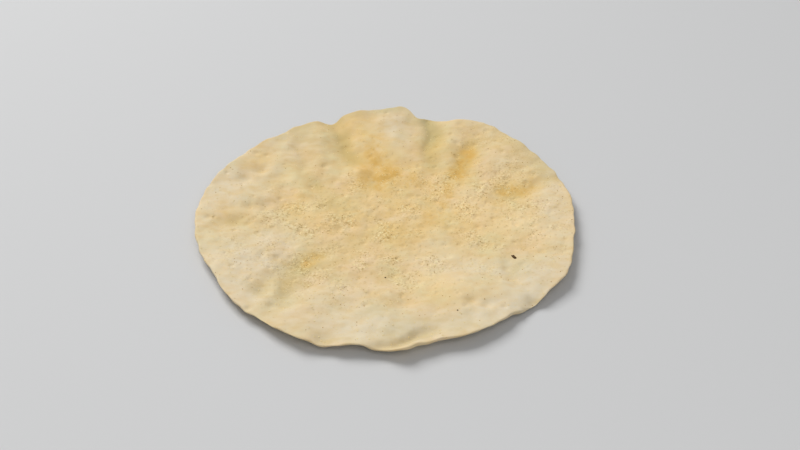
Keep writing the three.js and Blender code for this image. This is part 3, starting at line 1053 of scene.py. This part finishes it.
@dataclass(frozen=True)
class ScorchedFlecks:
    """The few scorched flakes on the bread, scraps of dough that burnt on the iron."""

    flecks: tuple[Fleck, ...] = (
        Fleck(75.6, -36.2, 4.4, 1.9, 0.5, -58),
        Fleck(0.9, -51.2, 1.0, 0.8, 0.3, 20),
        Fleck(40.9, -82.5, 1.0, 0.8, 0.3, -30),
    )
    steps: int = 14
    ragged: float = 0.18  # share by which the outline strays in and out
    rings: tuple[tuple[float, float], ...] = ((1.0, 0.0), (0.85, 0.7), (0.45, 1.0))  # share and rise of each
    underside: float = -0.15  # the rise of the lowest point, as a share of a flake's height
    crown: float = 0.9  # the rise of the middle
    seed: int = 11

    def flake(self, fleck: Fleck,
              draw: np.random.Generator) -> tuple[list[Vector], list[tuple[int, ...]]]:
        """Shape one flake, lying flat at the origin: a low dome over a ragged outline.

        Args:
            fleck: The flake's sizes.
            draw: Where its raggedness is drawn from.

        Returns:
            The points, in millimetres, and the faces.
        """
        points = [Vector((0, 0, self.underside * fleck.height))]
        reaches = 1 + draw.uniform(-self.ragged, self.ragged, self.steps)
        for share, rise in self.rings:
            for step, reach in enumerate(reaches):
                angle = 2 * math.pi * step / self.steps
                points.append(Vector((fleck.length / 2 * reach * share * math.cos(angle),
                                      fleck.width / 2 * reach * share * math.sin(angle),
                                      fleck.height * rise)))
        last = 1 + (len(self.rings) - 1) * self.steps
        points.append(Vector((0, 0, self.crown * fleck.height)))
        faces = []
        for step in range(self.steps):
            ahead = (step + 1) % self.steps
            faces.append((0, 1 + ahead, 1 + step))
            for low in range(1, last, self.steps):
                high = low + self.steps
                faces.append((low + step, low + ahead, high + ahead, high + step))
            faces.append((last + step, last + ahead, len(points) - 1))
        return points, faces

    def build(self, bread: bpy.types.Object) -> bpy.types.Object:
        """Build the flakes and lay each on the bread.

        Args:
            bread: The finished bread.

        Returns:
            The flakes' object.
        """
        draw = np.random.default_rng(self.seed)
        points, faces = [], []
        for fleck in self.flecks:
            flat, flat_faces = self.flake(fleck, draw)
            _, spot, normal, _ = bread.ray_cast(Vector((fleck.x * MM, fleck.y * MM, 1)), Vector((0, 0, -1)))
            lean = Vector((0, 0, 1)).rotation_difference(normal).to_matrix().to_4x4()
            turned = Matrix.Rotation(math.radians(fleck.turn), 4, "Z")
            laid = Matrix.Translation(spot) @ lean @ turned @ Matrix.Scale(MM, 4)
            faces += [tuple(len(points) + corner for corner in face) for face in flat_faces]
            points += [laid @ point for point in flat]
        mesh = bpy.data.meshes.new("scorched_flecks")
        mesh.from_pydata(points, [], faces)
        mesh.shade_smooth()
        mesh.materials.append(CHARRED_DOUGH.material())
        flecks = show("scorched_flecks", mesh)
        settle_piece(flecks)
        return flecks


# ---------------------------------------------------------------------------------------------
# The studio
# ---------------------------------------------------------------------------------------------

@dataclass(frozen=True)
class Lamp:
    """A soft square lamp: its bearing from +X and its height in degrees, distance and side in metres."""

    name: str
    bearing: float
    elevation: float
    distance: float
    side: float
    watts: float

    def build(self) -> None:
        """Hang the lamp and aim it at the bread."""
        light = bpy.data.lights.new(self.name, "AREA")
        light.size = self.side
        light.energy = self.watts
        lamp = show(self.name, light)
        bearing, elevation = math.radians(self.bearing), math.radians(self.elevation)
        away = Vector((math.cos(bearing) * math.cos(elevation), math.sin(bearing) * math.cos(elevation),
                       math.sin(elevation)))
        lamp.location = away * self.distance
        lamp.rotation_euler = away.to_track_quat("Z", "Y").to_euler()


@dataclass(frozen=True)
class Studio:
    """A pale floor, soft lamps and the camera that looks down on the bread."""

    floor_colour: str = "#d0d0d0"
    floor_radius: float = 6  # metres
    floor_sides: int = 96
    sky_colour: str = "#e6e8ea"
    sky_strength: float = 0.32
    lamps: tuple[Lamp, ...] = (
        Lamp("window_lamp", 128, 47, 3.0, 1.7, 74),
        Lamp("front_fill", -75, 50, 1.6, 1.2, 6),
    )
    aim: tuple[float, float, float] = (9.3, -9.3, 6)
    camera_elevation: float = 40
    camera_distance: float = 665.4
    lens: float = 50

    def build_floor(self) -> None:
        """Lay the floor, a plain painted disc."""
        material, tree = new_material("matt_painted_floor")
        surface = add(tree, "ShaderNodeBsdfPrincipled", {
            "Base Color": linear(self.floor_colour), "Roughness": 0.75, "Specular IOR Level": 0.3})
        add(tree, "ShaderNodeOutputMaterial", {"Surface": surface})
        mesh = bpy.data.meshes.new("floor")
        turns = [2 * math.pi * step / self.floor_sides for step in range(self.floor_sides)]
        rim = [(self.floor_radius * math.cos(t), self.floor_radius * math.sin(t), 0.0) for t in turns]
        mesh.from_pydata(rim, [], [tuple(range(self.floor_sides))])
        mesh.materials.append(material)
        show("floor", mesh)

    def build_sky(self) -> None:
        """Give the even light that comes from all round."""
        world = bpy.data.worlds.new("studio")
        world.use_nodes = True
        background = world.node_tree.nodes["Background"]
        background.inputs["Color"].default_value = linear(self.sky_colour)
        background.inputs["Strength"].default_value = self.sky_strength
        bpy.context.scene.world = world
        bpy.context.scene.view_settings.view_transform = "Standard"

    def build_camera(self) -> None:
        """Set up the camera."""
        camera = show("camera", bpy.data.cameras.new("camera"))
        camera.data.lens = self.lens
        camera.data.clip_start = 0.01
        elevation = math.radians(self.camera_elevation)
        back = Vector((0, -math.cos(elevation), math.sin(elevation)))
        camera.location = (Vector(self.aim) + back * self.camera_distance) * MM
        camera.rotation_euler = back.to_track_quat("Z", "Y").to_euler()
        bpy.context.scene.camera = camera

    def build(self) -> None:
        """Build the whole studio."""
        self.build_camera()
        self.build_floor()
        self.build_sky()
        for lamp in self.lamps:
            lamp.build()


def main() -> None:
    """Build the studio, the bread and what lies on it."""
    logging.basicConfig(level=logging.INFO, format="%(name)s: %(message)s")
    Studio().build()
    bread = ChapatiRound().build()
    for sprinkle in SPRINKLES:
        sprinkle.build(bread)
    ScorchedFlecks().build(bread)


if __name__ == "__main__":
    main()
